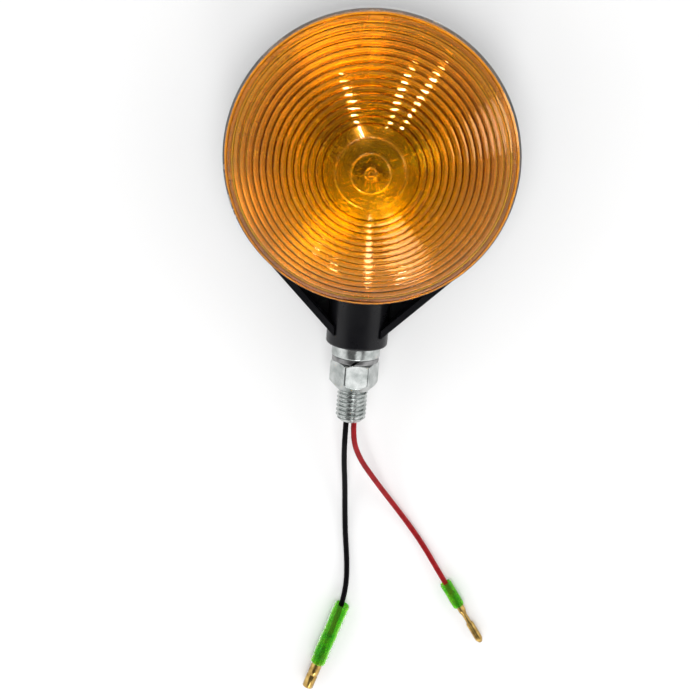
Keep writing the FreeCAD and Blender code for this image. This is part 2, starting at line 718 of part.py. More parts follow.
# ---------------------------------------------------------------- bulb holder and its contact
def make_socket_shell():
    body = new_body("socket_shell")
    outside, wall = D["holder_radius"], D["holder_wall"]
    inside = outside - wall
    bottom, top = D["holder_bottom"], D["holder_top"]
    seat = D["dish_flat_top"] - D["dish_wall"]
    turn(body, "shell", [
        (D["holder_lip"], bottom), (outside, bottom), (outside, seat - D["flange_wall"]),
        (D["flange_radius"], seat - D["flange_wall"]), (D["flange_radius"], seat), (outside, seat),
        (outside, top), (inside, top), (inside, bottom + wall), (D["holder_lip"], bottom + wall),
    ])
    half = D["slot_width"] / 2.0
    pin_level = D["contact_level"] + D["pin_height"]
    leg_bottom = pin_level - half - D["push_travel"]
    mouth = new_sketch(body, "slot_mouth_outline", "XZ_Plane")
    outline(mouth, [(-half, leg_bottom), (half, leg_bottom), (half, top + PAST), (-half, top + PAST)])
    legs = new_sketch(body, "slot_leg_outline", "YZ_Plane")
    leg_inside, leg_outside = inside - PAST / 2.0, outside + PAST / 2.0
    for side in SIDES:
        outline(legs, [
            (side * leg_inside, leg_bottom), (side * leg_outside, leg_bottom),
            (side * leg_outside, pin_level + half), (side * leg_inside, pin_level + half),
        ])
    pocket(body, "slot_mouth", mouth)
    leg = body.newObject("PartDesign::Groove", "slot_leg")
    leg.Profile = legs
    leg.ReferenceAxis = (legs, ["V_Axis"])
    bind(leg, "Angle", D["slot_turn"])
    hole_start, hole_length = seat - D["flange_wall"] - PAST, D["flange_wall"] + 2.0 * PAST
    for number, side in enumerate(SIDES):
        round_block(body, f"flange_hole_{number}", "XY_Plane", (side * D["rivet_circle"], 0, hole_start),
                    D["rivet_radius"], hole_length, cut=True)


def make_socket_rivets():
    pieces = []
    seat = D["dish_flat_top"] - D["dish_wall"]
    grip_bottom = seat - D["flange_wall"]
    grip = D["dish_flat_top"] - grip_bottom
    head, wall = D["rivet_head"], D["rivet_head_wall"]
    for number, side in enumerate(SIDES):
        x = side * D["rivet_circle"]
        pieces.append(cylinder(f"rivet_foot_{number}", head, wall, x, 0, grip_bottom - wall))
        pieces.append(cylinder(f"rivet_shank_{number}", D["rivet_radius"], grip, x, 0, grip_bottom))
        pieces.append(cylinder(f"rivet_top_{number}", head, wall, x, 0, D["dish_flat_top"]))
    fused("socket_rivets", pieces)


def make_ground_tab():
    body = new_body("ground_tab")
    tab = new_sketch(body, "tab_outline", "XY_Plane", D["holder_bottom"])
    left, right = D["tab_left"], D["tab_right"]
    inner = D["tab_bite"] - D["holder_radius"]
    outer = inner - D["tab_wall"]
    outline(tab, [(left, outer), (right, outer), (right, inner), (left, inner)])
    pad(body, "tab", tab, D["tab_height"])


def make_contact():
    bottom = D["holder_bottom"] + D["holder_wall"]
    base_top = bottom + D["disc_wall"]
    carrier_top = D["contact_level"] - D["plunger_head_wall"]
    carrier_bottom = carrier_top - D["disc_wall"]
    ring("socket_base", D["base_rivet_radius"], D["disc_radius"], bottom, base_top)
    rivet = new_body("base_contact")
    shank, foot, head = D["base_rivet_radius"], D["base_rivet_foot"], D["base_rivet_head"]
    foot_bottom, foot_top = bottom - D["base_rivet_drop"], bottom - D["base_rivet_gap"]
    head_top = base_top + D["base_rivet_head_wall"]
    turn(rivet, "base_rivet", [
        (0, foot_bottom), (foot, foot_bottom), (foot, foot_top), (shank, foot_top),
        (shank, base_top), (head, base_top), (head, head_top), (0, head_top),
    ])
    pin, cap, level = D["plunger_pin"], D["plunger_head"], D["contact_level"]
    ring("contact_carrier", pin, D["disc_radius"], carrier_bottom, carrier_top)
    plunger = new_body("contact_plunger")
    tail, chamfer = carrier_bottom - D["plunger_tail"], D["plunger_chamfer"]
    turn(plunger, "plunger", [
        (0, tail), (pin, tail), (pin, carrier_top), (cap, carrier_top),
        (cap, level - chamfer), (cap - chamfer, level), (0, level),
    ])
    wire, radius = D["spring_wire"].number, D["spring_radius"].number
    low, high = base_top.number + wire / 2, carrier_bottom.number - wire / 2
    count = round(D["spring_turns"].number * SPRING_SIDES)
    coil = []
    for number in range(count + 1):
        angle = 2 * math.pi * number / SPRING_SIDES
        height = low + (high - low) * number / count
        coil.append((radius * math.cos(angle), radius * math.sin(angle), height))
    make_wire("contact_spring", coil, wire / 2, SPRING_BENDS)


# ---------------------------------------------------------------- bulb
def make_bulb():
    level = D["contact_level"]
    cap_bottom = level + D["cap_start"]
    cap_top = cap_bottom + D["cap_height"]
    inside = D["cap_radius"] - D["cap_wall"]
    cap = new_body("bulb_cap")
    turn(cap, "cap", [
        (inside, cap_bottom), (D["cap_radius"], cap_bottom), (D["cap_radius"], cap_top), (inside, cap_top),
    ])
    reach = D["pin_reach"] - inside
    pin_level = level + D["pin_height"]
    round_block(cap, "pin_front", "XZ_Plane", (0, pin_level, inside), D["pin_radius"], reach)
    round_block(cap, "pin_back", "XZ_Plane", (0, pin_level, -D["pin_reach"]), D["pin_radius"], reach)
    cap.Placement = Placement(Vector(0, 0, 0), Rotation(Vector(0, 0, 1), D["pin_turn"].number))
    insulator = new_body("bulb_insulator")
    foot, side = D["insulator_foot"], inside - D["insulator_gap"]
    solder_top, insulator_top = level + D["solder_height"], cap_bottom + D["insulator_height"]
    turn(insulator, "insulator", [
        (0, solder_top), (foot, solder_top), (side, cap_bottom + D["insulator_start"]), (side, insulator_top),
        (0, insulator_top),
    ])
    contact = new_body("bulb_contact")
    turn(contact, "solder", [
        (0, level), (D["solder_foot"], level), (D["solder_radius"], solder_top), (0, solder_top),
    ])
    glass = new_body("bulb_glass")
    neck, ball, wall = D["bulb_neck"], D["bulb_radius"], D["glass_wall"]
    top = level + D["bulb_length"]
    centre = top - ball
    foot = cap_top - D["glass_inset"]
    shoulder = centre - root(ball * ball - neck * neck)
    inner, inner_neck = ball - wall, neck - wall
    inner_shoulder = centre - root(inner * inner - inner_neck * inner_neck)
    turn(glass, "bulb", [
        (0, foot), (neck, foot), (neck, shoulder), (ball, centre), (0, top), (0, top - wall),
        (inner, centre), (inner_neck, inner_shoulder), (inner_neck, foot + wall), (0, foot + wall),
    ], arcs={2: (ball, 1), 3: (ball, 1), 5: (inner, -1), 6: (inner, -1)})
    half, filament = D["filament_half"], level + D["filament_level"]
    stem_foot, stem_top = foot + wall, filament - D["stem_drop"]
    shoulder_top = stem_foot + D["stem_shoulder_height"]
    mount = new_body("bulb_mount")
    turn(mount, "stem", [
        (0, stem_foot), (D["stem_foot"], stem_foot), (D["stem_shoulder"], shoulder_top),
        (D["stem_tip"], stem_top), (0, stem_top),
    ])
    thin, gap = D["support_radius"], D["support_gap"]
    post_foot = stem_top - D["support_sink"]
    supports = []
    for number, side in enumerate(SIDES):
        post = cylinder(f"support_post_{number}", thin, filament - post_foot, side * half, 0, post_foot)
        arm = cylinder(f"support_arm_{number}", thin, half - gap, side * gap, 0, post_foot + thin)
        arm.Placement.Rotation = Rotation(Vector(0, 1, 0), 90 * side)
        supports += [post, arm]
    fused("filament_supports", supports)
    free_half = half - thin
    coil = cylinder("filament", D["filament_radius"], free_half * 2.0, -free_half, 0, filament)
    coil.Label = "filament"
    coil.Placement.Rotation = Rotation(Vector(0, 1, 0), 90)


# ---------------------------------------------------------------- stud and its fasteners
def hexagon(body, name, start, length, bore, bevel, cone, degrees=0.0):
    """A turned and bevelled hexagon nut along the body's Z axis."""
    flats = D["across_flats"]
    corner = flats / root(size(3.0))
    sketch = new_sketch(body, f"{name}_outline", "XY_Plane", start)
    outline(sketch, [on_circle(corner, size(60.0 * side) + degrees) for side in range(6)])
    pad(body, name, sketch, length)
    end = start + length
    outer = corner + PAST
    bevel_foot = flats / 2.0 - D["nut_bite"]
    cone_foot = bore + D["nut_land"]
    bevel_drop = bevel * (outer - bevel_foot) / (corner - bevel_foot)
    cone_drop = cone * (outer - cone_foot) / (corner - cone_foot)
    cut = new_sketch(body, f"{name}_bevels_outline", "XZ_Plane")
    outline(cut, [(bevel_foot, start), (outer, start - PAST / 2.0), (outer, start + bevel_drop)])
    outline(cut, [(cone_foot, end), (outer, end - cone_drop), (outer, end + PAST / 2.0)])
    groove = body.newObject("PartDesign::Groove", f"{name}_bevels")
    groove.Profile = cut
    groove.ReferenceAxis = (cut, ["V_Axis"])
    bind(groove, "Angle", 360.0)
    round_block(body, f"{name}_bore", "XY_Plane", (0, 0, start - PAST), bore, length + 2.0 * PAST, cut=True)


def make_stud():
    body = new_body("stud")
    shank, thread, bore = D["shank_radius"], D["thread_radius"], D["stud_bore"]
    start, end, collar = D["stud_start"], D["stud_end"], D["collar_radius"]
    chamfer, inner_chamfer = D["stud_chamfer"], D["shank_chamfer"]
    valley, valley_start = thread - D["thread_gap_depth"], free_thread_start - D["thread_gap"]
    turned = turn(body, "stud_turn", [
        (bore, start), (shank - inner_chamfer, start), (shank, start + inner_chamfer), (shank, D["neck_end"]),
        (collar, D["neck_end"]), (collar, collar_end), (thread, collar_end), (thread, valley_start),
        (valley, valley_start), (valley, free_thread_start), (thread, free_thread_start),
        (thread, end - chamfer), (thread - chamfer, end), (bore, end),
    ])
    centres = [Vector(0, 0, D["neck_end"].number), Vector(0, 0, collar_end.number)]
    edges = find_edges(turned, lambda edge: any(is_ring(edge, collar, place) for place in centres))
    soften(body, "collar_edges", turned, edges, D["collar_round"])
    along_stud(body)


def make_stud_fasteners():
    washer_start = D["pocket_floor"] - D["inner_washer_wall"]
    washer = ring("inner_washer", D["washer_bore"], D["inner_washer_radius"], washer_start, D["pocket_floor"])
    along_stud(washer)
    inner_nut = new_body("inner_nut")
    length = D["inner_nut_length"]
    hexagon(inner_nut, "thin_hexagon", washer_start - length, length, D["nut_bore"], D["inner_nut_bevel"],
            D["inner_nut_cone"])
    along_stud(inner_nut)
    spring_washer = ring("spring_washer", D["washer_bore"], D["spring_washer_radius"], collar_end, nut_start)
    split = new_sketch(spring_washer, "split_outline", "YZ_Plane")
    half, lean = D["washer_gap"] / 2.0, D["washer_lean"]
    low, high = collar_end - PAST / 2.0, nut_start + PAST / 2.0
    outline(split, [(-half - lean, low), (half - lean, low), (half + lean, high), (lean - half, high)])
    pocket(spring_washer, "split", split, D["spring_washer_radius"] + PAST)
    along_stud(spring_washer)
    nut = new_body("mounting_nut")
    hexagon(nut, "long_hexagon", nut_start, D["nut_length"], D["nut_bore"], D["nut_bevel"], D["nut_cone"],
            D["nut_turn"])
    along_stud(nut)
    bush = new_body("lead_bush")
    bush_end = D["stud_end"] - D["bush_inset"]
    section = new_sketch(bush, "bush_outline", "XY_Plane", bush_end - D["bush_length"])
    circle(section, 0, 0, D["stud_bore"])
    for side in SIDES:
        circle(section, side * D["lead_offset"], 0, D["lead_radius"])
    pad(bush, "bush", section, D["bush_length"])
    along_stud(bush)


# ---------------------------------------------------------------- leads and connectors
def make_sleeve(label, outside, bore, length):
    """An open sleeve with one rounded end."""
    sleeve = new_body(label)
    soft = D["sleeve_round"]
    turn(sleeve, "sleeve", [
        (bore, 0), (outside - soft, 0), (outside, soft), (outside, length), (bore, length),
    ])
    return sleeve


def make_female_connector():
    sleeve = make_sleeve(
        "female_sleeve", D["female_sleeve_radius"], D["female_sleeve_bore"], D["female_sleeve_length"])
    terminal = new_body("female_terminal")
    radius, hole, crimp, inset = D["female_radius"], D["female_bore"], D["crimp_radius"], D["female_inset"]
    end = inset + D["female_length"]
    floor = end - D["female_bore_depth"]
    crimp_end = inset + D["female_crimp"]
    middle, half, groove = end - D["female_ring"], D["female_ring_half"], radius - D["female_ring_depth"]
    turn(terminal, "barrel", [
        (0, inset), (crimp, inset), (crimp, crimp_end), (radius, crimp_end + D["female_shoulder"]),
        (radius, middle - half), (groove, middle), (radius, middle + half), (radius, end),
        (hole, end), (hole, floor), (0, floor),
    ])
    for part in (sleeve, terminal):
        along_lead(part, BLACK_ROUTE, -inset.number)


def make_male_connector():
    sleeve = make_sleeve(
        "male_sleeve", D["male_sleeve_radius"], D["male_sleeve_bore"], D["male_sleeve_length"])
    terminal = new_body("male_terminal")
    radius, neck, crimp, inset = D["male_radius"], D["male_neck"], D["crimp_radius"], D["male_inset"]
    end = inset + D["male_length"]
    bullet, heel = end - D["bullet_length"], D["bullet_heel"]
    crimp_end = inset + D["male_crimp"]
    turn(terminal, "bullet", [
        (0, inset), (crimp, inset), (crimp, crimp_end), (neck, crimp_end + D["male_shoulder"]),
        (neck, bullet),
        (radius - heel, bullet), (radius, bullet + heel), (radius, end - D["bullet_tip"]),
        (radius - D["bullet_tip_depth"], end), (0, end),
    ])
    for part in (sleeve, terminal):
        along_lead(part, RED_ROUTE, -inset.number)


make_housing()
make_reflector()
make_lens()
make_seals()
make_reflector_screws()
make_socket_shell()
make_socket_rivets()
make_ground_tab()
make_contact()
make_bulb()
make_stud()
make_stud_fasteners()
lead = D["lead_radius"].number
make_wire("black_lead", BLACK_ROUTE, lead, FREE_BENDS)
make_wire("red_lead", RED_ROUTE, lead, FREE_BENDS)
make_wire("inner_black_lead", INNER_BLACK_ROUTE, lead, INNER_BENDS)
make_wire("inner_red_lead", INNER_RED_ROUTE, lead, INNER_BENDS)
make_female_connector()
make_male_connector()
doc.recompute()

NODES = [
    "housing", "reflector", "lens", "housing_gasket", "lens_gasket", "reflector_screws", "socket_shell",
    "socket_rivets", "ground_tab", "socket_base", "base_contact", "contact_carrier", "contact_plunger",
    "contact_spring", "bulb_cap", "bulb_insulator", "bulb_contact", "bulb_glass", "bulb_mount",
    "filament_supports", "filament", "stud", "inner_washer", "inner_nut", "spring_washer", "mounting_nut",
    "lead_bush", "black_lead", "red_lead", "inner_black_lead", "inner_red_lead", "female_sleeve",
    "female_terminal", "male_sleeve", "male_terminal",
]

failed = [item.Name for item in doc.Objects if {"Invalid", "Error"} & set(item.State)]
if failed:
    raise RuntimeError(f"these objects failed: {failed}")
os.makedirs("parts", exist_ok=True)
for node in NODES:
    part = doc.getObjectsByLabel(node)[0]
    shape = part.Shape
    if shape.isNull() or not shape.isValid() or not shape.Solids:
        raise RuntimeError(f"{node} has no valid solid")
    shape.exportStep(f"parts/{node}.step")
print(f"{len(NODES)} nodes written")
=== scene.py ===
"""Looks of the stud-mount turn signal lamp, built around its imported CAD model. Metres, the CAD frame."""
import json
import math

import bmesh
import bpy
from mathutils import Matrix, Vector, noise


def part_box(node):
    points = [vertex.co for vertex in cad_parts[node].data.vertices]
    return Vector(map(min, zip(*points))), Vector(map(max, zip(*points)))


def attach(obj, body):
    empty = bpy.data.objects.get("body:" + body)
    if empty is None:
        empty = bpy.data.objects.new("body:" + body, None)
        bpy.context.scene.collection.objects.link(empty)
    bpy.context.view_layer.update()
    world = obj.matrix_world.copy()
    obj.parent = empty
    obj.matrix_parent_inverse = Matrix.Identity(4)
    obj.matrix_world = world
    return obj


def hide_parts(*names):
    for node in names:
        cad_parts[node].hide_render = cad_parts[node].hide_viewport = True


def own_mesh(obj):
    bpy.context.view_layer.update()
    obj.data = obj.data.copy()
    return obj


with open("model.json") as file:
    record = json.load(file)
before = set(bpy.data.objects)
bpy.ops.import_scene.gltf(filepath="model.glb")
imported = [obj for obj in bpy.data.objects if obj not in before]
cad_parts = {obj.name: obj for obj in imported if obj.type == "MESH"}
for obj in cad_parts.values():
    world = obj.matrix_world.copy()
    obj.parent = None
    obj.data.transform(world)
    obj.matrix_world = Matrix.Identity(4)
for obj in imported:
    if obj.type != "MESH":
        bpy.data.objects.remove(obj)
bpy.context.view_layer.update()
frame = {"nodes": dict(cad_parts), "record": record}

MM = 0.001
NODES = frame["nodes"]

# Camera, fitted to the lamp as it lies: degrees, metres and the focal length in mm.
CAMERA_PLACE = Vector((-0.0023, 0.1042, 0.6279))
CAMERA_LEAN, CAMERA_ROLL = 16.62, -4.65
FOCAL_LENGTH, SENSOR_WIDTH = 84.0, 36.0

# World brightness by the height of its direction: LOW up to the first height, OVERHEAD past the second.
WORLD_LOW, WORLD_OVERHEAD = 1.3, 0.16
WORLD_HEIGHTS = (0.56, 0.82)

# Lights that only the dome mirrors, in metres, degrees and watts. Azimuth and tilt say where on the ridges
# each is seen. Each is long along the ridges' slope, so that a ridge shows a round dot.
DOME_LIGHTS = [  # name, azimuth, tilt, width, length, power
    ("spark_left", 110.7, 17.0, 0.05, 0.5, 13.0),
    ("spark_middle", 73.7, 21.0, 0.05, 0.5, 13.0),
    ("spark_right", 60.2, 27.0, 0.05, 0.5, 13.0),
    ("wedge", -87.0, 24.0, 0.06, 0.9, 4.5),
    ("fan", -64.0, 25.0, 0.35, 0.9, 9.0),
    ("rim", 22.0, 42.0, 0.5, 0.5, 5.0),
]
LIGHT_DISTANCE = 1.1
DOME_CROWN = Vector((0, 0, 0.062))
DOME_AIM = Vector((0, 0, 0.06))

# Main sizes, the same as in the CAD source.
LENS_RADIUS = 54.0 * MM
STUD_HEIGHT = 15.0 * MM
STUD_AXIS = Matrix.Translation((0, 0, STUD_HEIGHT)) @ Matrix.Rotation(math.radians(90), 4, "X")
NECK_END, COLLAR_END, NUT_START, NUT_LENGTH = 75.6 * MM, 80.4 * MM, 82.4 * MM, 11.8 * MM
NUT_TURN = math.radians(-7.4)
THREAD_PITCH = 1.75 * MM
THREAD_START, THREAD_END = 81.2 * MM, 107.3 * MM

# Routes of the free leads, the same points as in the CAD source, in metres.
BLACK_ROUTE = [
    (-0.00155, -0.1066, 0.015), (-0.00155, -0.1156, 0.015), (-0.0011, -0.1265, 0.0109),
    (0.0, -0.138, 0.0056), (0.0008, -0.1495, 0.002), (0.0018, -0.1615, 0.00115),
    (0.0034, -0.173, 0.00115), (0.0042, -0.1844, 0.0024), (0.0024, -0.1959, 0.00335),
    (-0.0013, -0.208, 0.00335),
]
RED_ROUTE = [
    (0.00155, -0.1066, 0.015), (0.00155, -0.1148, 0.015), (0.0047, -0.1242, 0.0116), (0.0109, -0.1339, 0.007),
    (0.0186, -0.1444, 0.003), (0.027, -0.1548, 0.00125), (0.0349, -0.165, 0.0012), (0.0415, -0.1747, 0.0024),
    (0.0479, -0.1841, 0.0024),
]
LEAD_RADIUS = 1.1 * MM
FEMALE_COVER, MALE_COVER = 15.5 * MM, 5.0 * MM  # how much of each lead its sleeve covers

# Lens rings.
RING_FIRST = 17.2 * MM
RING_PITCH = 2.55 * MM
RING_COUNT = 15


# ---------------------------------------------------------------- camera and light
def make_camera():
    """The camera looks down on the lamp from its top side, leaning towards the leads."""
    data = bpy.data.cameras.new("camera")
    data.sensor_width = SENSOR_WIDTH
    data.lens = FOCAL_LENGTH
    camera = bpy.data.objects.new("camera", data)
    bpy.context.scene.collection.objects.link(camera)
    lean, roll = math.radians(CAMERA_LEAN), math.radians(CAMERA_ROLL)
    ahead = Vector((0, -math.sin(lean), -math.cos(lean)))
    level_up = Vector((0, math.cos(lean), -math.sin(lean)))
    level_right = ahead.cross(level_up)
    up = level_up * math.cos(roll) + level_right * math.sin(roll)
    right = ahead.cross(up)
    turn = Matrix((right, up, -ahead)).transposed()
    camera.matrix_world = Matrix.Translation(CAMERA_PLACE) @ turn.to_4x4()
    data.clip_start, data.clip_end = 0.01, 20.0
    bpy.context.scene.camera = camera


def area_light(name, place, target, size, power, length=None):
    """A round area light aimed at a point, or an oval one where it has a length."""
    data = bpy.data.lights.new(name, "AREA")
    data.shape = "DISK" if length is None else "ELLIPSE"
    data.size = size
    data.size_y = length or size
    data.energy = power
    light = bpy.data.objects.new(name, data)
    bpy.context.scene.collection.objects.link(light)
    light.location = place
    light.rotation_mode = "QUATERNION"
    light.rotation_quaternion = (Vector(target) - Vector(place)).to_track_quat("-Z", "Y")
    return light


def mirror_direction(azimuth, tilt):
    """Where a light must stand for the dome to mirror it at this azimuth and tilt of its surface."""
    a, t = math.radians(azimuth), math.radians(tilt)
    normal = Vector((math.sin(t) * math.cos(a), math.sin(t) * math.sin(a), math.cos(t)))
    view = (CAMERA_PLACE - DOME_CROWN).normalized()
    return normal * (2 * normal.dot(view)) - view


def only(light, group):
    """Let a light reach only the pieces of one group."""
    found = bpy.data.collections.get(group) or bpy.data.collections.new(group)
    light.light_linking.receiver_collection = found


def lit_by(piece, group):
    """Put a piece in a group that has its own lights."""
    bpy.data.collections[group].objects.link(piece)


def make_light():
    """A wide soft studio, bright low down all round and dimmer overhead."""
    world = bpy.data.worlds.new("studio")
    bpy.context.scene.world = world
    world.use_nodes = True
    tree = world.node_tree
    background = tree.nodes["Background"]
    background.inputs["Color"].default_value = (1.0, 1.0, 1.0, 1)
    place = tree.nodes.new("ShaderNodeTexCoord")
    split = tree.nodes.new("ShaderNodeSeparateXYZ")
    tree.links.new(place.outputs["Generated"], split.inputs["Vector"])
    span = tree.nodes.new("ShaderNodeMapRange")
    span.interpolation_type = "SMOOTHSTEP"
    span.inputs["From Min"].default_value, span.inputs["From Max"].default_value = WORLD_HEIGHTS
    span.inputs["To Min"].default_value = WORLD_LOW
    span.inputs["To Max"].default_value = WORLD_OVERHEAD
    tree.links.new(split.outputs["Z"], span.inputs["Value"])
    tree.links.new(span.outputs["Result"], background.inputs["Strength"])
    area_light("soft_front", (0.22, -1.25, 0.9), (0, -0.08, 0), 0.5, 3.0)
    for name, azimuth, tilt, width, length, power in DOME_LIGHTS:
        place = DOME_AIM + mirror_direction(azimuth, tilt) * LIGHT_DISTANCE
        only(area_light(name, place, DOME_AIM, width, power, length), "lens_only")
    # one that only the stud's metal mirrors, on the nut's front face, and one that only lifts the floor
    nut = Vector((0, -0.088, STUD_HEIGHT))
    from_nut = Vector((0.248, -0.299, 0.923))
    only(area_light("metal", nut + from_nut * LIGHT_DISTANCE, nut, 0.5, 0.85), "metal_only")
    only(area_light("floor_wash", (0, -0.1, 2.2), (0, -0.1, 0), 1.6, 21.0), "floor_only")


# ---------------------------------------------------------------- materials
def material(name, **values):
    """A Principled material with constants on the shader's own sockets."""
    made = bpy.data.materials.new(name)
    made.use_nodes = True
    shader = made.node_tree.nodes["Principled BSDF"]
    for key, value in values.items():
        socket = shader.inputs[key.replace("_", " ")]
        socket.default_value = value
    return made


def node(made, kind, **values):
    """A new node in a material, with its properties and inputs set by name."""
    new = made.node_tree.nodes.new(kind)
    for key, value in values.items():
        if hasattr(new, key):
            setattr(new, key, value)
        else:
            new.inputs[key.replace("_", " ").title()].default_value = value
    return new


def wire(made, source, target):
    made.node_tree.links.new(source, target)


def position(made):
    """Object coordinates, in metres in the row frame."""
    return node(made, "ShaderNodeTexCoord").outputs["Object"]


def add_mottle(made, low, high, scale, detail=4.0, stretch=(1, 1, 1), target="Base Color"):
    """Vary a colour, or a number, between two values with noise."""
    shader = made.node_tree.nodes["Principled BSDF"]
    mapping = node(made, "ShaderNodeMapping")
    mapping.inputs["Scale"].default_value = stretch
    wire(made, position(made), mapping.inputs["Vector"])
    cloud = node(made, "ShaderNodeTexNoise", Scale=scale, Detail=detail)
    wire(made, mapping.outputs["Vector"], cloud.inputs["Vector"])
    if isinstance(low, tuple):
        ramp = node(made, "ShaderNodeValToRGB")
        ramp.color_ramp.elements[0].position = 0.32
        ramp.color_ramp.elements[1].position = 0.68
        ramp.color_ramp.elements[0].color = (*low, 1)
        ramp.color_ramp.elements[1].color = (*high, 1)
        wire(made, cloud.outputs["Fac"], ramp.inputs["Fac"])
        wire(made, ramp.outputs["Color"], shader.inputs[target])
    else:
        span = node(made, "ShaderNodeMapRange")
        span.inputs["From Min"].default_value = 0.3
        span.inputs["From Max"].default_value = 0.7
        span.inputs["To Min"].default_value = low
        span.inputs["To Max"].default_value = high
        wire(made, cloud.outputs["Fac"], span.inputs["Value"])
        wire(made, span.outputs["Result"], shader.inputs[target])
    return cloud


def add_bump(made, scale, height, strength=1.0, detail=3.0, stretch=(1, 1, 1), target="Normal"):
    """Fine relief from noise; height is in metres."""
    shader = made.node_tree.nodes["Principled BSDF"]
    mapping = node(made, "ShaderNodeMapping")
    mapping.inputs["Scale"].default_value = stretch
    wire(made, position(made), mapping.inputs["Vector"])
    cloud = node(made, "ShaderNodeTexNoise", Scale=scale, Detail=detail)
    wire(made, mapping.outputs["Vector"], cloud.inputs["Vector"])
    bump = node(made, "ShaderNodeBump", Strength=strength, Distance=height)
    wire(made, cloud.outputs["Fac"], bump.inputs["Height"])
    wire(made, bump.outputs["Normal"], shader.inputs[target])
    return bump


def math_node(made, operation, first, second=None):
    """A math node fed by a socket and a socket or a number."""
    new = node(made, "ShaderNodeMath", operation=operation)
    wire(made, first, new.inputs[0])
    if second is not None:
        if isinstance(second, (int, float)):
            new.inputs[1].default_value = second
        else:
            wire(made, second, new.inputs[1])
    return new.outputs["Value"]


def axis_distance(made):
    """Distance from the lens axis, in metres."""
    flat = node(made, "ShaderNodeVectorMath", operation="MULTIPLY")
    wire(made, position(made), flat.inputs[0])
    flat.inputs[1].default_value = (1, 1, 0)
    distance = node(made, "ShaderNodeVectorMath", operation="LENGTH")
    wire(made, flat.outputs["Vector"], distance.inputs[0])
    return distance.outputs["Value"]


def amber_lens():
    made = material("amber_lens", IOR=1.49, Transmission_Weight=1.0, Specular_IOR_Level=0.14,
                    Specular_Tint=(0.62, 0.25, 0.02, 1), Coat_Weight=0.17, Coat_Roughness=0.03,
                    Coat_IOR=1.45)
    shader = made.node_tree.nodes["Principled BSDF"]
    distance = axis_distance(made)
    # painted shade and light: a dark line at each ring valley with a lighter band beside it, standing in for
    # the refraction at the valleys, drawn by the distance from the lens axis
    turns = math_node(made, "DIVIDE", math_node(made, "SUBTRACT", distance, RING_FIRST), RING_PITCH)
    phase = math_node(made, "PINGPONG", turns, 0.5)
    painted_valley_shade = node(made, "ShaderNodeValToRGB")
    painted_valley_shade.color_ramp.interpolation = "EASE"
    painted_valley_shade.color_ramp.elements[0].position = 0.05
    painted_valley_shade.color_ramp.elements[0].color = (0.20, 0.05, 0.002, 1)
    painted_valley_shade.color_ramp.elements[1].position = 0.16
    painted_valley_shade.color_ramp.elements[1].color = (0.80, 0.455, 0.010, 1)
    # the crest stop is a little darker than the painted light beside each valley
    late = painted_valley_shade.color_ramp.elements.new(0.5)
    late.color = (0.75, 0.40, 0.008, 1)
    wire(made, phase, painted_valley_shade.inputs["Fac"])
    # inside the first ring there is no painted valley shade
    inner = math_node(made, "LESS_THAN", distance, RING_FIRST - 0.4 * MM)
    plain = node(made, "ShaderNodeMix", data_type="RGBA")
    wire(made, inner, plain.inputs[0])
    wire(made, painted_valley_shade.outputs["Color"], plain.inputs[6])
    cloud = node(made, "ShaderNodeTexNoise", Scale=55.0, Detail=4.0)
    wire(made, position(made), cloud.inputs["Vector"])
    tone = node(made, "ShaderNodeValToRGB")
    tone.color_ramp.elements[0].position = 0.3
    tone.color_ramp.elements[0].color = (0.66, 0.36, 0.008, 1)
    tone.color_ramp.elements[1].position = 0.7
    tone.color_ramp.elements[1].color = (0.76, 0.45, 0.012, 1)
    wire(made, cloud.outputs["Fac"], tone.inputs["Fac"])
    wire(made, tone.outputs["Color"], plain.inputs[7])
    wire(made, plain.outputs[2], shader.inputs["Base Color"])
    # the stippled middle scatters more than the ridges
    haze = node(made, "ShaderNodeMapRange")
    haze.inputs["From Min"].default_value = 12.0 * MM
    haze.inputs["From Max"].default_value = 19.0 * MM
    haze.inputs["To Min"].default_value = 0.2
    haze.inputs["To Max"].default_value = 0.08
    wire(made, distance, haze.inputs["Value"])
    wire(made, haze.outputs["Result"], shader.inputs["Roughness"])
    add_bump(made, 260.0, 0.05 * MM, 0.35)
    return made


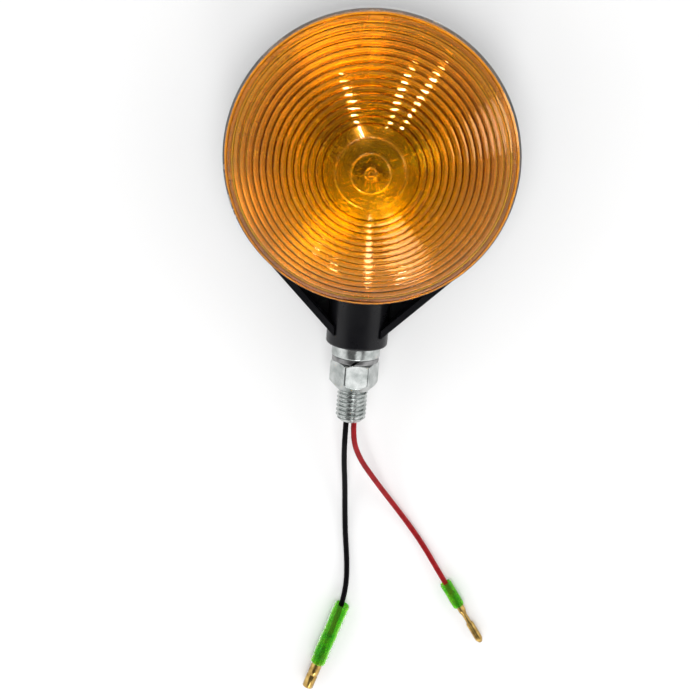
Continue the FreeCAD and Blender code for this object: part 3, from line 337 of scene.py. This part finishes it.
def make_materials():
    made = {}
    made["amber_lens"] = amber_lens()
    plastic = material("black_housing", Roughness=0.3, Specular_IOR_Level=0.22)
    add_mottle(plastic, (0.006, 0.006, 0.008), (0.011, 0.011, 0.013), 60.0)
    add_mottle(plastic, 0.24, 0.40, 140.0, target="Roughness")
    add_bump(plastic, 1800.0, 0.02 * MM, 0.35)
    made["black_housing"] = plastic
    silver = material("silver_reflector", Metallic=1.0, Roughness=0.2)
    add_mottle(silver, (0.74, 0.73, 0.70), (0.86, 0.85, 0.83), 40.0)
    add_mottle(silver, 0.14, 0.3, 90.0, target="Roughness")
    add_bump(silver, 500.0, 0.02 * MM, 0.3)
    made["silver_reflector"] = silver
    zinc = material("zinc_steel", Metallic=1.0, Roughness=0.2)
    add_mottle(zinc, (0.32, 0.345, 0.335), (0.60, 0.62, 0.61), 260.0, 6.0)
    add_mottle(zinc, 0.12, 0.28, 420.0, target="Roughness")
    add_bump(zinc, 900.0, 0.03 * MM, 0.5)
    made["zinc_steel"] = zinc
    spring = material("spring_steel", Metallic=1.0, Roughness=0.33)
    add_mottle(spring, (0.16, 0.16, 0.16), (0.34, 0.34, 0.34), 300.0)
    add_bump(spring, 1200.0, 0.02 * MM, 0.4)
    made["spring_steel"] = spring
    brass = material("brass", Metallic=1.0, Roughness=0.24)
    add_mottle(brass, (0.26, 0.15, 0.04), (0.62, 0.42, 0.13), 330.0, 5.0)
    add_mottle(brass, 0.14, 0.30, 500.0, target="Roughness")
    add_bump(brass, 1400.0, 0.02 * MM, 0.45)
    made["brass"] = brass
    nickel = material("nickel_cap", Metallic=1.0, Roughness=0.25)
    add_mottle(nickel, (0.60, 0.58, 0.53), (0.78, 0.76, 0.72), 300.0)
    made["nickel_cap"] = nickel
    insulator = material("insulator", Roughness=0.6)
    add_mottle(insulator, (0.16, 0.07, 0.03), (0.26, 0.13, 0.06), 500.0)
    made["insulator"] = insulator
    rubber = material("seal_rubber", Roughness=0.75)
    add_mottle(rubber, (0.012, 0.012, 0.012), (0.026, 0.026, 0.026), 400.0)
    add_bump(rubber, 1600.0, 0.03 * MM, 0.5)
    made["seal_rubber"] = rubber
    seal = material("lens_seal", Roughness=0.6)
    add_mottle(seal, (0.62, 0.40, 0.12), (0.74, 0.50, 0.18), 400.0)
    add_bump(seal, 1600.0, 0.03 * MM, 0.4)
    made["lens_seal"] = seal
    vitrite = material("black_glass", Roughness=0.12)
    add_mottle(vitrite, (0.008, 0.008, 0.01), (0.02, 0.02, 0.024), 300.0)
    made["black_glass"] = vitrite
    solder = material("solder", Metallic=1.0, Roughness=0.45)
    add_mottle(solder, (0.42, 0.42, 0.43), (0.62, 0.62, 0.63), 500.0)
    made["solder"] = solder
    glass = material("bulb_glass", Roughness=0.02, IOR=1.45, Transmission_Weight=1.0)
    add_mottle(glass, (0.95, 0.95, 0.94), (0.99, 0.99, 0.98), 100.0)
    made["bulb_glass"] = glass
    tungsten = material("tungsten", Metallic=1.0, Roughness=0.4)
    add_mottle(tungsten, (0.22, 0.22, 0.23), (0.36, 0.36, 0.37), 700.0)
    made["tungsten"] = tungsten
    black = material("black_pvc", Roughness=0.42, Specular_IOR_Level=0.05)
    add_mottle(black, (0.002, 0.002, 0.003), (0.006, 0.005, 0.006), 350.0)
    add_bump(black, 700.0, 0.04 * MM, 0.5, stretch=(1, 0.3, 1))
    made["black_pvc"] = black
    red = material("red_pvc", Roughness=0.38, Specular_IOR_Level=0.16)
    add_mottle(red, (0.30, 0.006, 0.009), (0.45, 0.011, 0.016), 350.0)
    add_bump(red, 700.0, 0.04 * MM, 0.5, stretch=(1, 0.3, 1))
    made["red_pvc"] = red
    green = material("green_pvc", IOR=1.08, Transmission_Weight=0.85, Coat_Weight=0.12, Coat_Roughness=0.1)
    add_mottle(green, (0.14, 0.80, 0.05), (0.38, 0.86, 0.06), 240.0)
    add_mottle(green, 0.14, 0.3, 300.0, target="Roughness")
    add_bump(green, 420.0, 0.08 * MM, 0.6)
    made["green_pvc"] = green
    return made


# ---------------------------------------------------------------- mesh helpers
def finish_mesh(name, vertices, faces, place=None, sharp=32.0):
    """A smooth shaded object whose sharp edges are marked by their angle."""
    mesh = bpy.data.meshes.new(name)
    mesh.from_pydata([tuple(v) for v in vertices], [], faces)
    work = bmesh.new()
    work.from_mesh(mesh)
    bmesh.ops.remove_doubles(work, verts=work.verts, dist=1e-7)
    bmesh.ops.dissolve_degenerate(work, edges=work.edges, dist=1e-8)
    bmesh.ops.recalc_face_normals(work, faces=work.faces)
    work.to_mesh(mesh)
    work.free()
    if place is not None:
        mesh.transform(place)
    mesh.polygons.foreach_set("use_smooth", [True] * len(mesh.polygons))
    mesh.set_sharp_from_angle(angle=math.radians(sharp))
    made = bpy.data.objects.new(name, mesh)
    bpy.context.scene.collection.objects.link(made)
    return made


def lathe(name, outline, place=None, steps=128, shape=None, sharp=32.0, closed=True):
    """Turn an outline of (radius, along) points about Z. shape(radius, angle, along) may change a radius."""
    vertices = []
    for step in range(steps):
        angle = 2 * math.pi * step / steps
        for radius, along in outline:
            r = radius if shape is None or radius == 0 else shape(radius, angle, along)
            vertices.append((r * math.cos(angle), r * math.sin(angle), along))
    count = len(outline)
    sides = count if closed else count - 1
    faces = []
    for step in range(steps):
        here, there = step * count, (step + 1) % steps * count
        for number in range(sides):
            after = (number + 1) % count
            if outline[number][0] == 0 and outline[after][0] == 0:
                continue
            faces.append((here + number, there + number, there + after, here + after))
    return finish_mesh(name, vertices, faces, place, sharp)


def rounded(outline, radius=0.2 * MM, steps=3):
    """The outline with each corner off the axis rounded a little."""
    out = []
    count = len(outline)
    for number, point in enumerate(outline):
        here = Vector(point)
        before, after = Vector(outline[number - 1]), Vector(outline[(number + 1) % count])
        if here.x < 1e-9 or (before - here).length < 1e-9 or (after - here).length < 1e-9:
            out.append((here.x, here.y))
            continue
        reach = min(radius, (before - here).length * 0.45, (after - here).length * 0.45)
        first = here + (before - here).normalized() * reach
        last = here + (after - here).normalized() * reach
        for step in range(steps + 1):
            t = step / steps
            p = first * (1 - t) ** 2 + here * 2 * t * (1 - t) + last * t ** 2
            out.append((p.x, p.y))
    return out


def dress(piece, body, slot, materials, *nodes):
    """Give a piece the material named by its slot and put it on its body, and hide the CAD nodes it stands
    for.
    """
    piece.data.materials.clear()
    piece.data.materials.append(materials[slot])
    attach(piece, body)
    if nodes:
        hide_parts(*nodes)
    return piece


# ---------------------------------------------------------------- lens
def dome_height(radius, sphere, centre):
    return centre + math.sqrt(sphere ** 2 - radius ** 2)


def make_lens(materials):
    """The dome: convex ridges with sharp valleys outside, fine prisms and a stippled centre inside."""
    top, dome_start, band_top = 62.0 * MM, 37.0 * MM, 33.5 * MM
    wall = 2.4 * MM
    sphere = (LENS_RADIUS ** 2 + (top - dome_start) ** 2) / (2 * (top - dome_start))
    centre = top - sphere
    crest = 4.1 * MM
    groove_half, groove_depth = 0.2 * MM, 0.3 * MM

    def outer_point(radius):
        depth = 0.0
        if radius >= RING_FIRST:
            turns = (radius - RING_FIRST) / RING_PITCH
            from_crest = (turns % 1.0 - 0.5) * RING_PITCH
            depth = crest - math.sqrt(crest ** 2 - from_crest ** 2)
            to_valley = RING_PITCH / 2 - abs(from_crest)
            depth += groove_depth * max(0.0, 1 - to_valley / groove_half)
        else:
            for ring, half in ((0.9, 0.35), (2.0, 0.35), (7.0, 0.4), (12.6, 0.4)):
                away = abs(radius - ring * MM)
                depth = max(depth, 0.28 * MM * max(0.0, 1 - away / (half * MM)))
        lean = math.asin(radius / sphere)
        return radius - depth * math.sin(lean), dome_height(radius, sphere, centre) - depth * math.cos(lean)

    radii = [0.0, 0.3, 0.55, 0.9, 1.25, 1.6, 2.0, 2.4, 3.2, 4.4, 5.6, 6.6, 7.0, 7.4, 8.6, 10.0, 11.4,
             12.2, 12.6, 13.0, 14.2, 15.4, 16.4, 16.9]
    radii = [value * MM for value in radii]
    shares = (0.0, 0.04, 0.08, 0.14, 0.26, 0.38, 0.5, 0.62, 0.74, 0.86, 0.92, 0.96)
    for ring in range(RING_COUNT - 1):
        radii += [RING_FIRST + (ring + share) * RING_PITCH for share in shares]
    last = RING_FIRST + (RING_COUNT - 1) * RING_PITCH
    radii += [last, last + 0.2 * MM]
    outline = [outer_point(radius) for radius in radii]
    outline += [(LENS_RADIUS - 0.5 * MM, dome_start + 0.55 * MM),
                (LENS_RADIUS - 0.12 * MM, dome_start + 0.2 * MM),
                (LENS_RADIUS, dome_start - 0.3 * MM), (LENS_RADIUS, band_top + 0.1 * MM),
                (LENS_RADIUS - 0.3 * MM, band_top + 0.02 * MM)]
    inside = LENS_RADIUS - wall
    inner_sphere = sphere - wall
    outline += [(inside, band_top + 0.02 * MM), (inside, dome_height(inside, inner_sphere, centre))]
    prism, prism_depth = 0.85 * MM, 0.13 * MM
    first_prism = 3.4 * MM
    count = int((inside - first_prism) / prism)
    for number in range(count, 0, -1):
        base = first_prism + number * prism
        for share, rise in ((0.0, 0.0), (-0.45, 0.75), (-0.9, 1.0)):
            radius = base + share * prism
            if radius >= inside:
                continue
            outline.append((radius, dome_height(radius, inner_sphere, centre) - prism_depth * rise))
    for radius in (2.6, 1.8, 1.0, 0.0):
        outline.append((radius * MM, dome_height(radius * MM, inner_sphere, centre)))
    piece = lathe("lens_dome", outline, steps=240, sharp=24.0)
    # stipple the middle of the inner face
    for vertex in piece.data.vertices:
        radius = math.hypot(vertex.co.x, vertex.co.y)
        shell = (vertex.co - Vector((0, 0, centre))).length
        if 0.5 * MM < radius < 24 * MM and shell < sphere - 1.6 * MM:
            fade = min(1.0, (24 * MM - radius) / (6 * MM))
            bump = noise.noise(vertex.co * 1400.0) + 0.6 * noise.noise(vertex.co * 700.0)
            vertex.co.z += 0.16 * MM * fade * bump
    lit_by(piece, "lens_only")
    return dress(piece, "lamp", "amber_lens", materials, "lens")


# ---------------------------------------------------------------- stud, nut and washer
def thread_radius(major, angle, along):
    """The outside of a right-hand thread of 60 degree flanks."""
    phase = (along / THREAD_PITCH - angle / (2 * math.pi)) % 1.0
    away = abs(phase - 0.5) * 2
    share = min(1.0, max(0.0, (away - 0.14) / 0.66))
    share = share * share * (3 - 2 * share) * 0.35 + share * 0.65
    depth = 1.0 * MM * share
    run_out = min(1.0, max(0.0, (along - THREAD_START) / THREAD_PITCH))
    return major - depth * run_out


def make_stud(materials):
    shank, thread, bore = 5.9 * MM, 5.95 * MM, 3.6 * MM
    start, collar_radius = 40.0 * MM, 9.5 * MM
    collar = [(shank, NECK_END), (collar_radius, NECK_END), (collar_radius, COLLAR_END), (shank, COLLAR_END)]
    collar = rounded(collar, 0.7 * MM, 4)
    steps = 290
    step = (THREAD_END - THREAD_START) / steps
    threads = [(thread, THREAD_START + step * number) for number in range(steps + 1)]
    outline = [(bore + 0.3 * MM, start), (shank - 0.8 * MM, start), (shank, start + 0.8 * MM)]
    outline += collar + [(thread, COLLAR_END + 0.1 * MM)] + threads
    outline += [(bore + 0.5 * MM, THREAD_END), (bore, THREAD_END - 0.5 * MM), (bore, start + 0.3 * MM)]
    chamfer = 1.6 * MM

    def shape(radius, angle, along):
        if along < THREAD_START or radius < 5.0 * MM:
            return radius
        cone = thread - chamfer + (THREAD_END - along) * 1.0
        return max(min(thread_radius(radius, angle, along), cone), bore + 0.6 * MM)

    piece = lathe("stud_tube", outline, STUD_AXIS, steps=112, shape=shape, sharp=40.0)
    lit_by(piece, "metal_only")
    return dress(piece, "lamp", "zinc_steel", materials, "stud")


def hexagon_radius(angle, across):
    """Distance to a side of a hexagon, its corners a little soft and at multiples of 60 degrees."""
    side = (angle + math.pi / 6) % (math.pi / 3) - math.pi / 6
    away = math.pi / 6 - abs(side)
    flat = across / 2 / math.cos(away)
    soft = 0.02
    return flat - across / 2 * soft * max(0.0, 1 - abs(side) / 0.09) ** 2


def make_nut(materials):
    start, across, bore = NUT_START, 17.0 * MM, 6.02 * MM
    end = start + NUT_LENGTH
    corner = across / math.sqrt(3)
    bevel, cone = 1.1 * MM, 3.5 * MM
    bevel_foot, cone_foot = across / 2 - 0.3 * MM, bore + 0.4 * MM
    steps = 94
    levels = [start + NUT_LENGTH * number / steps for number in range(steps + 1)]
    outline = [(bore, start + 0.4 * MM), (bore + 0.4 * MM, start)]
    outline += [(corner, level) for level in levels]
    outline += [(bore + 0.35 * MM, end), (bore, end - 0.4 * MM)]

    def shape(radius, angle, along):
        if radius < corner - 1e-6:
            return radius
        first = bevel_foot + (along - start) * (corner - bevel_foot) / bevel
        last = cone_foot + (end - along) * (corner - cone_foot) / cone
        parts = (hexagon_radius(angle - NUT_TURN, across), first, last)
        least = min(parts)
        soft = 0.10 * MM
        return least - soft * math.log(sum(math.exp((least - part) / soft) for part in parts)) * 0.5

    piece = lathe("nut_hexagon", outline, STUD_AXIS, steps=240, shape=shape, sharp=50.0)
    lit_by(piece, "metal_only")
    return dress(piece, "nut", "zinc_steel", materials, "mounting_nut")


def make_spring_washer(materials):
    """One turn of square wire with a slanted gap."""
    inner, outer = 6.25 * MM, 9.2 * MM
    low, high = COLLAR_END + 0.02 * MM, NUT_START - 0.02 * MM
    section = rounded([(inner, low), (outer, low), (outer, high), (inner, high)], 0.35 * MM, 3)
    gap = 1.2 * MM / 7.7 / MM
    steps = 88
    vertices, faces = [], []
    middle = (low + high) / 2
    for step in range(steps + 1):
        for radius, along in section:
            lean = (along - middle) / (high - low) * 2.2 * MM / radius
            angle = math.pi / 2 + lean + gap / 2 + (2 * math.pi - gap) * step / steps
            vertices.append((radius * math.cos(angle), radius * math.sin(angle), along))
    count = len(section)
    for step in range(steps):
        here, there = step * count, (step + 1) * count
        for number in range(count):
            after = (number + 1) % count
            faces.append((here + number, there + number, there + after, here + after))
    faces.append(tuple(range(count)))
    faces.append(tuple(range(steps * count, (steps + 1) * count)))
    piece = finish_mesh("spring_washer_ring", vertices, faces, STUD_AXIS, 40.0)
    return dress(piece, "lock_washer", "spring_steel", materials, "spring_washer")


# ---------------------------------------------------------------- connectors
def wavy(amount, seed):
    """A small uneven change of radius, as of soft tube or pressed sheet."""
    def shape(radius, angle, along):
        spot = Vector((math.cos(angle) * 1.2, math.sin(angle) * 1.2, along * 260.0 + seed))
        return radius * (1 + amount * noise.noise(spot))
    return shape


def make_sleeve(cad_name, outside, bore, length, place, materials, seed, band=None):
    """A soft open tube; band is where a raised line runs round it."""
    outline = [(bore, 0.5 * MM), (bore + 0.3 * MM, 0.0), (outside - 0.35 * MM, 0.0), (outside, 0.5 * MM)]
    steps = 24
    for number in range(1, steps):
        along = 0.5 * MM + (length - 1.0 * MM) * number / steps
        outline.append((outside, along))
    if band is not None:
        outline += [(outside, band - 0.5 * MM), (outside + 0.16 * MM, band), (outside, band + 0.5 * MM)]
        outline = outline[:4] + sorted(outline[4:], key=lambda point: point[1])
    outline += [(outside, length - 0.5 * MM), (outside - 0.3 * MM, length), (bore + 0.25 * MM, length)]
    for number in range(steps):
        outline.append((bore, length - 0.4 * MM - (length - 1.0 * MM) * number / steps))
    piece = lathe(f"{cad_name}_tube", outline, place, steps=64, shape=wavy(0.05, seed))
    return dress(piece, "lamp", "green_pvc", materials, cad_name)


def make_female_terminal(place, materials):
    start, length = 15.5 * MM, 25.5 * MM
    end = start + length
    barrel, hole, crimp = 2.3 * MM, 1.62 * MM, 1.7 * MM
    groove = end - 6.2 * MM
    outline = [(0, start), (crimp - 0.15 * MM, start), (crimp, start + 0.2 * MM)]
    outline += [(crimp, start + 0.5 * number * MM) for number in range(1, 10)]
    outline += [(crimp, start + 5 * MM), (1.95 * MM, start + 5.8 * MM), (2.2 * MM, start + 6.4 * MM),
                (barrel, start + 7 * MM)]
    first, last = start + 7 * MM, groove - 0.55 * MM
    outline += [(barrel, first + (last - first) * number / 8) for number in range(1, 9)]
    outline += [(barrel - 0.2 * MM, groove - 0.2 * MM), (barrel - 0.25 * MM, groove),
                (barrel - 0.2 * MM, groove + 0.2 * MM), (barrel, groove + 0.55 * MM),
                (barrel, groove + 2.5 * MM), (barrel, end - 0.35 * MM),
                (barrel - 0.15 * MM, end - 0.05 * MM), (barrel - 0.3 * MM, end), (hole + 0.15 * MM, end),
                (hole, end - 0.2 * MM), (hole, end - 9.5 * MM), (0, end - 9.5 * MM)]

    def shape(radius, angle, along):
        inside_crimp = min(1.0, max(0.0, (start + 6.2 * MM - along) / (1.2 * MM)))
        folds = 1 - 0.13 * inside_crimp * abs(math.cos(angle + 0.6)) ** 0.7
        seam = 0.0
        turn = (angle - math.radians(250) + math.pi) % (2 * math.pi) - math.pi
        if radius > 1.8 * MM and abs(turn) < 0.16:
            seam = 0.35 * MM * (1 - abs(turn) / 0.16)
        return radius * folds - seam * (1 - inside_crimp)

    piece = lathe("female_terminal_barrel", outline, place, steps=72, shape=shape, sharp=45.0)
    return dress(piece, "lamp", "brass", materials, "female_terminal")


def make_male_terminal(place, materials):
    start, length = 5.0 * MM, 26.0 * MM
    end = start + length
    radius, neck, crimp = 1.6 * MM, 1.05 * MM, 1.7 * MM
    bullet = end - 10.0 * MM
    outline = [(0, start), (crimp - 0.15 * MM, start), (crimp, start + 0.2 * MM)]
    outline += [(crimp, start + 0.6 * number * MM) for number in range(1, 16)]
    outline += [(crimp, start + 9.3 * MM), (1.45 * MM, start + 10.2 * MM), (1.15 * MM, start + 11.1 * MM),
                (neck, start + 11.6 * MM), (neck, bullet - 1.0 * MM), (neck, bullet - 0.05 * MM),
                (radius - 0.3 * MM, bullet), (radius - 0.08 * MM, bullet + 0.12 * MM),
                (radius, bullet + 0.45 * MM)]
    outline += [(radius, bullet + number * MM) for number in range(1, 8)]
    outline += [(radius, end - 1.7 * MM), (radius - 0.12 * MM, end - 1.4 * MM),
                (radius - 0.75 * MM, end - 0.15 * MM), (radius - 0.95 * MM, end), (0, end)]

    def shape(value, angle, along):
        crimped = min(1.0, max(0.0, (start + 10.5 * MM - along) / (1.5 * MM)))
        lobes = 1 - 0.16 * crimped * (0.5 + 0.5 * math.cos(3 * angle + along * 420))
        turn = (angle - math.radians(80) + math.pi) % (2 * math.pi) - math.pi
        seam = 0.22 * MM * max(0.0, 1 - abs(turn) / 0.2) if along > bullet else 0.0
        return value * lobes - seam * min(1.0, value / radius)

    piece = lathe("male_terminal_bullet", outline, place, steps=72, shape=shape, sharp=45.0)
    return dress(piece, "lamp", "brass", materials, "male_terminal")


def coil(name, start, end, side, radius, turns, wire_radius, per_turn=14, around=8):
    """A helix of round wire about the line from start to end, beginning at the side given."""
    start, end, side = Vector(start), Vector(end), Vector(side)
    direction = (end - start).normalized()
    other = direction.cross(side)
    vertices, faces = [], []
    count = round(turns * per_turn)
    for number in range(count + 1):
        angle = 2 * math.pi * number / per_turn
        out = side * math.cos(angle) + other * math.sin(angle)
        centre = start.lerp(end, number / count) + out * radius
        for step in range(around):
            phase = 2 * math.pi * step / around
            vertices.append(centre + (out * math.cos(phase) + direction * math.sin(phase)) * wire_radius)
    for number in range(count):
        here, there = number * around, (number + 1) * around
        for step in range(around):
            after = (step + 1) % around
            faces.append((here + step, there + step, there + after, here + after))
    faces.append(tuple(range(around)))
    faces.append(tuple(range(count * around, (count + 1) * around)))
    return finish_mesh(name, vertices, faces, None, 60.0)


def make_filament(materials):
    """A fine coil between the two support wires."""
    half, level, radius, wire_radius, turns = 2.95 * MM, 43.6 * MM, 0.33 * MM, 0.07 * MM, 14
    start, end = (-half, 0, level), (half, 0, level)
    piece = coil("filament_coil", start, end, (0, 1, 0), radius, turns, wire_radius, around=6)
    return dress(piece, "bulb", "tungsten", materials, "filament")


def make_contact_spring(materials):
    """The spring under the contact carrier, which shortens as the bulb is pushed in."""
    radius, turns, wire_radius, push, clear = 4.6 * MM, 2.4, 0.35 * MM, 1.4 * MM, 0.03 * MM
    low, high = (corner[2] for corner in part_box("contact_spring"))
    start, end = (0, 0, low + wire_radius + clear), (0, 0, high - wire_radius - clear)
    piece = coil("contact_spring_coil", start, end, (1, 0, 0), radius, turns, wire_radius, per_turn=40)
    dress(piece, "lamp", "spring_steel", materials, "contact_spring")
    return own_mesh(piece)


# ---------------------------------------------------------------- leads
def make_lead(name, route, materials, slot, node_name):
    """A free lead as one smooth cord, with the connector on its far end."""
    curve = bpy.data.curves.new(name, "CURVE")
    curve.dimensions = "3D"
    spline = curve.splines.new("NURBS")
    spline.points.add(len(route) - 1)
    for point, place in zip(spline.points, route):
        point.co = (*place, 1.0)
    spline.order_u = 3
    spline.use_endpoint_u = True
    spline.resolution_u = 16
    curve.bevel_depth = LEAD_RADIUS
    curve.bevel_resolution = 8
    curve.use_fill_caps = True
    piece = bpy.data.objects.new(name, curve)
    bpy.context.scene.collection.objects.link(piece)
    piece.data.materials.append(materials[slot])
    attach(piece, "lamp")
    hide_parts(node_name)
    return piece


def end_axis(route, shift):
    """A frame on the end of a lead whose Z axis runs on past the lead, and whose X axis is level."""
    end, before = Vector(route[-1]), Vector(route[-2])
    along = (end - before).normalized()
    up = Vector((0, 0, 1))
    across = along.cross(up).normalized()
    turn = Matrix((across, up, along)).transposed()
    return Matrix.Translation(end + along * shift) @ turn.to_4x4()


# ---------------------------------------------------------------- floor
def make_floor():
    """A wide pale sheet just under the lamp."""
    bpy.ops.mesh.primitive_plane_add(size=6.0, location=(0, 0, -0.2 * MM))
    floor = bpy.context.object
    floor.name = "floor"
    paper = material("floor_paper", Roughness=0.9)
    add_mottle(paper, (0.90, 0.90, 0.90), (0.93, 0.93, 0.93), 5.0)
    floor.data.materials.append(paper)
    lit_by(floor, "floor_only")


# ---------------------------------------------------------------- the whole scene
make_camera()
make_light()
materials = make_materials()

NODE_SLOTS = {part["node"]: part["material_slot"] for part in frame["record"]["subparts"]}
for name, cad_node in NODES.items():
    cad_node.data.materials.clear()
    cad_node.data.materials.append(materials[NODE_SLOTS[name]])

female_place = end_axis(BLACK_ROUTE, -FEMALE_COVER)
male_place = end_axis(RED_ROUTE, -MALE_COVER)
female_sleeve = make_sleeve("female_sleeve", 3.3 * MM, 2.5 * MM, 29.0 * MM, female_place, materials,
                            seed=3.1, band=25.0 * MM)
female_terminal = make_female_terminal(female_place, materials)
male_sleeve = make_sleeve("male_sleeve", 2.4 * MM, 1.9 * MM, 12.0 * MM, male_place, materials, seed=8.7)
male_terminal = make_male_terminal(male_place, materials)
make_lead("black_lead_wire", BLACK_ROUTE, materials, "black_pvc", "black_lead")
make_lead("red_lead_wire", RED_ROUTE, materials, "red_pvc", "red_lead")
make_lens(materials)
make_stud(materials)
make_nut(materials)
make_spring_washer(materials)
make_filament(materials)
make_contact_spring(materials)

make_floor()

bpy.context.scene.view_settings.view_transform = "Standard"
